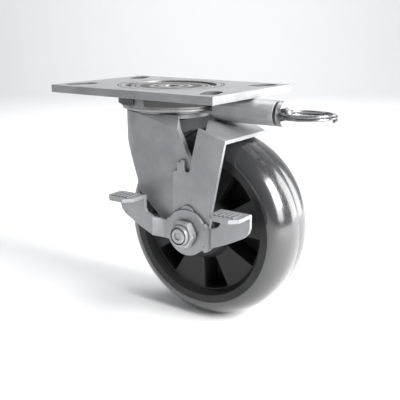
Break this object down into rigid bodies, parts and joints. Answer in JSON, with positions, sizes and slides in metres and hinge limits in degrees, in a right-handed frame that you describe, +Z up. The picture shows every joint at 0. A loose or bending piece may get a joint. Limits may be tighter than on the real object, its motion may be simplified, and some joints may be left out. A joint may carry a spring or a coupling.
{
  "type": "swivel castor",
  "caption": "Plate-mounted swivel castor with a soft-tread wheel, a two-pedal rocker brake and a spring plunger that locks the swivel straight.",
  "frame": {"origin": "on the swivel axis, at the top face of the mounting plate", "axes": "+Z up out of the plate's top face, +X the way the wheel trails from the swivel axis, +Y away from the brake's side"},
  "size_m": [0.2246, 0.1253, 0.1841],
  "materials": {
    "zinc_plate": "bright zinc plated, satin",
    "zinc_fork": "bright zinc plated sheet, satin",
    "zinc_brake": "bright zinc plated sheet, satin",
    "machined_steel": "turned, lightly oiled",
    "bearing_steel": "polished",
    "hardware": "zinc plated, turned",
    "spring_steel": "bright wire",
    "wheel_body": "moulded, semi-gloss",
    "tread": "smooth cast polyurethane, glossy"
  },
  "bodies": {
    "mount": {"top_plate": "zinc_plate", "index_ring": "zinc_plate", "upper_raceway": "machined_steel"},
    "swivel": {"inner_raceway": "machined_steel", "upper_balls": "bearing_steel", "lower_balls": "bearing_steel", "lip_ring": "zinc_fork", "swivel_rivet": "hardware", "fork": "zinc_fork", "lock_housing": "zinc_fork", "lock_spring": "spring_steel", "axle_sleeve": "machined_steel", "hub_washers": "hardware", "axle_bolt": "hardware", "axle_nut": "hardware", "head_washer": "hardware", "lever_bush": "machined_steel", "bearing_inner_rings": "machined_steel"},
    "wheel": {"wheel_rim": "wheel_body", "wheel_hub": "wheel_body", "wheel_web": "wheel_body", "wheel_spokes": "wheel_body", "tyre": "tread", "bearing_outer_rings": "machined_steel", "bearing_balls": "bearing_steel"},
    "shoe": {"brake_shoe": "zinc_brake"},
    "lever": {"brake_lever": "zinc_brake", "brake_cam": "machined_steel", "pad_ribs": "zinc_brake"},
    "plunger": {"lock_plunger": "machined_steel", "pull_knob": "hardware"},
    "ring": {"pull_ring": "spring_steel"}
  },
  "joints": [
    {"name": "swivel_turn", "type": "hinge", "parent": "mount", "child": "swivel", "pos_m": [0, 0, 0], "axis": [0, 0, 1], "continuous": true},
    {"name": "wheel_spin", "type": "hinge", "parent": "swivel", "child": "wheel", "pos_m": [0.04515, 0, -0.10795], "axis": [0, 1, 0], "continuous": true},
    {"name": "lever_rock", "type": "hinge", "parent": "swivel", "child": "lever", "pos_m": [0.04515, -0.0409, -0.10795], "axis": [0, 1, 0], "range_deg": [0, 20.9]},
    {"name": "shoe_drop", "type": "slide", "parent": "swivel", "child": "shoe", "axis": [0, 0, 1], "range_m": [-0.0015, 0]},
    {"name": "plunger_slide", "type": "slide", "parent": "swivel", "child": "plunger", "axis": [1, 0, 0], "range_m": [-0.0022, 0], "deforming": ["lock_spring"]},
    {"name": "ring_swing", "type": "hinge", "parent": "plunger", "child": "ring", "pos_m": [0.1051, 0, -0.0161], "axis": [0, 1, 0], "range_deg": [-45, 60]}
  ],
  "couplings": [
    {"joint": "shoe_drop", "follows": "lever_rock", "m_per_rad": -0.00411}
  ]
}
